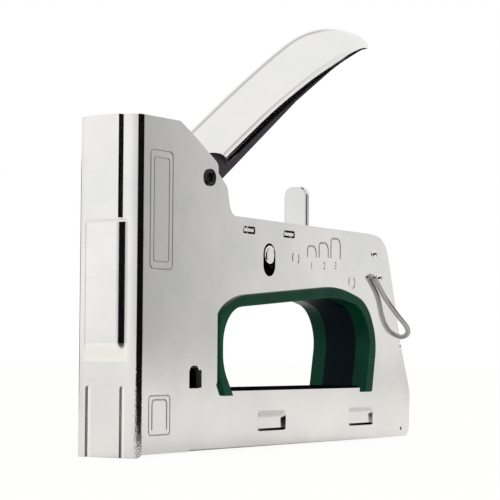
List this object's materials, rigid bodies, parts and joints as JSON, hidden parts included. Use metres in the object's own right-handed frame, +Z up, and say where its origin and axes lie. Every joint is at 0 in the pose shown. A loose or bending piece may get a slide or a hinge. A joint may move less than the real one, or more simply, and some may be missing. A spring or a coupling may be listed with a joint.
{
  "type": "staple gun",
  "caption": "Hand staple gun: bright steel tower and body, domed squeeze handle on a lever, lined hand opening, force adjuster, wire lock bail and pull-out magazine rail.",
  "frame": {"origin": "middle of the nose foot's working face, in the mid-plane, where the staple leaves", "axes": "+X from the nose to the rear, +Z up along the tower, -Y to the side of the gun that is on the user's left"},
  "size_m": [0.2092, 0.0358, 0.1706],
  "materials": {
    "polished_steel": "polished nickel-plated sheet",
    "bright_chrome": "bright chrome plate",
    "lever_grey": "satin dark grey coat",
    "green_grip": "glossy moulded plastic",
    "dark_inset": "soft matte insert",
    "black_oxide": "blackened steel",
    "zinc_steel": "zinc-plated sheet",
    "spring_steel": "drawn spring steel",
    "black_rubber": "soft rubber",
    "black_plastic": "matte moulded plastic"
  },
  "bodies": {
    "frame": {"tower_cover": "polished_steel", "tower_cap": "polished_steel", "side_plate_left": "polished_steel", "side_plate_right": "polished_steel", "top_bridge": "zinc_steel", "rear_spine": "polished_steel", "grip_liner": "green_grip", "grip_inset": "dark_inset", "nose_guide": "zinc_steel", "bumper_shelf": "zinc_steel", "bumper": "black_rubber", "spring_seat": "zinc_steel", "drive_spring": "spring_steel", "magazine_channel": "zinc_steel", "channel_lid": "zinc_steel", "rivet_fore": "polished_steel", "rivet_aft": "polished_steel", "lever_pin": "black_oxide", "pivot_spacers": "zinc_steel", "return_spring": "spring_steel", "detent_leaf": "spring_steel"},
    "handle": {"handle_cover": "bright_chrome", "lever_arm": "lever_grey"},
    "driver": {"striker": "zinc_steel", "driver_blade": "spring_steel", "blade_rivet": "zinc_steel"},
    "adjuster": {"adjuster_tongue": "bright_chrome", "adjuster_slide": "zinc_steel", "adjuster_pin": "bright_chrome"},
    "bail": {"wire_bail": "bright_chrome"},
    "magazine_rail": {"rail": "zinc_steel", "rail_end_cap": "black_plastic", "guide_rod": "spring_steel", "rod_stop": "zinc_steel", "pusher_spring": "spring_steel", "latch_spring": "spring_steel"},
    "staple_pusher": {"pusher": "zinc_steel"},
    "latch": {"rail_latch": "black_plastic"}
  },
  "joints": [
    {"name": "handle_squeeze", "type": "hinge", "parent": "frame", "child": "handle", "pos_m": [0.0448, 0, 0.0994], "axis": [0, 1, 0], "range_deg": [0, 27], "stiffness_Nm_per_rad": 3, "springref_deg": -28.65},
    {"name": "striker_lift", "type": "slide", "parent": "frame", "child": "driver", "axis": [0, 0, 1], "range_m": [0, 0.0152], "deforming": ["drive_spring"]},
    {"name": "adjuster_slide", "type": "slide", "parent": "frame", "child": "adjuster", "axis": [0, 0, 1], "range_m": [-0.0038, 0]},
    {"name": "bail_swing", "type": "hinge", "parent": "frame", "child": "bail", "pos_m": [0.1695, 0, 0.0681], "axis": [0, -1, 0], "range_deg": [0, 78]},
    {"name": "magazine_slide", "type": "slide", "parent": "frame", "child": "magazine_rail", "axis": [1, 0, 0], "range_m": [0, 0.14]},
    {"name": "pusher_slide", "type": "slide", "parent": "magazine_rail", "child": "staple_pusher", "axis": [1, 0, 0], "range_m": [0, 0.1], "stiffness_N_per_m": 30, "springref_m": -0.03, "deforming": ["pusher_spring"]},
    {"name": "latch_press", "type": "slide", "parent": "magazine_rail", "child": "latch", "axis": [0, 0, 1], "range_m": [0, 0.0018], "stiffness_N_per_m": 400, "springref_m": -0.002, "deforming": ["latch_spring"]}
  ],
  "couplings": [
    {"joint": "striker_lift", "follows": "handle_squeeze", "m_per_rad": 0.0318}
  ]
}
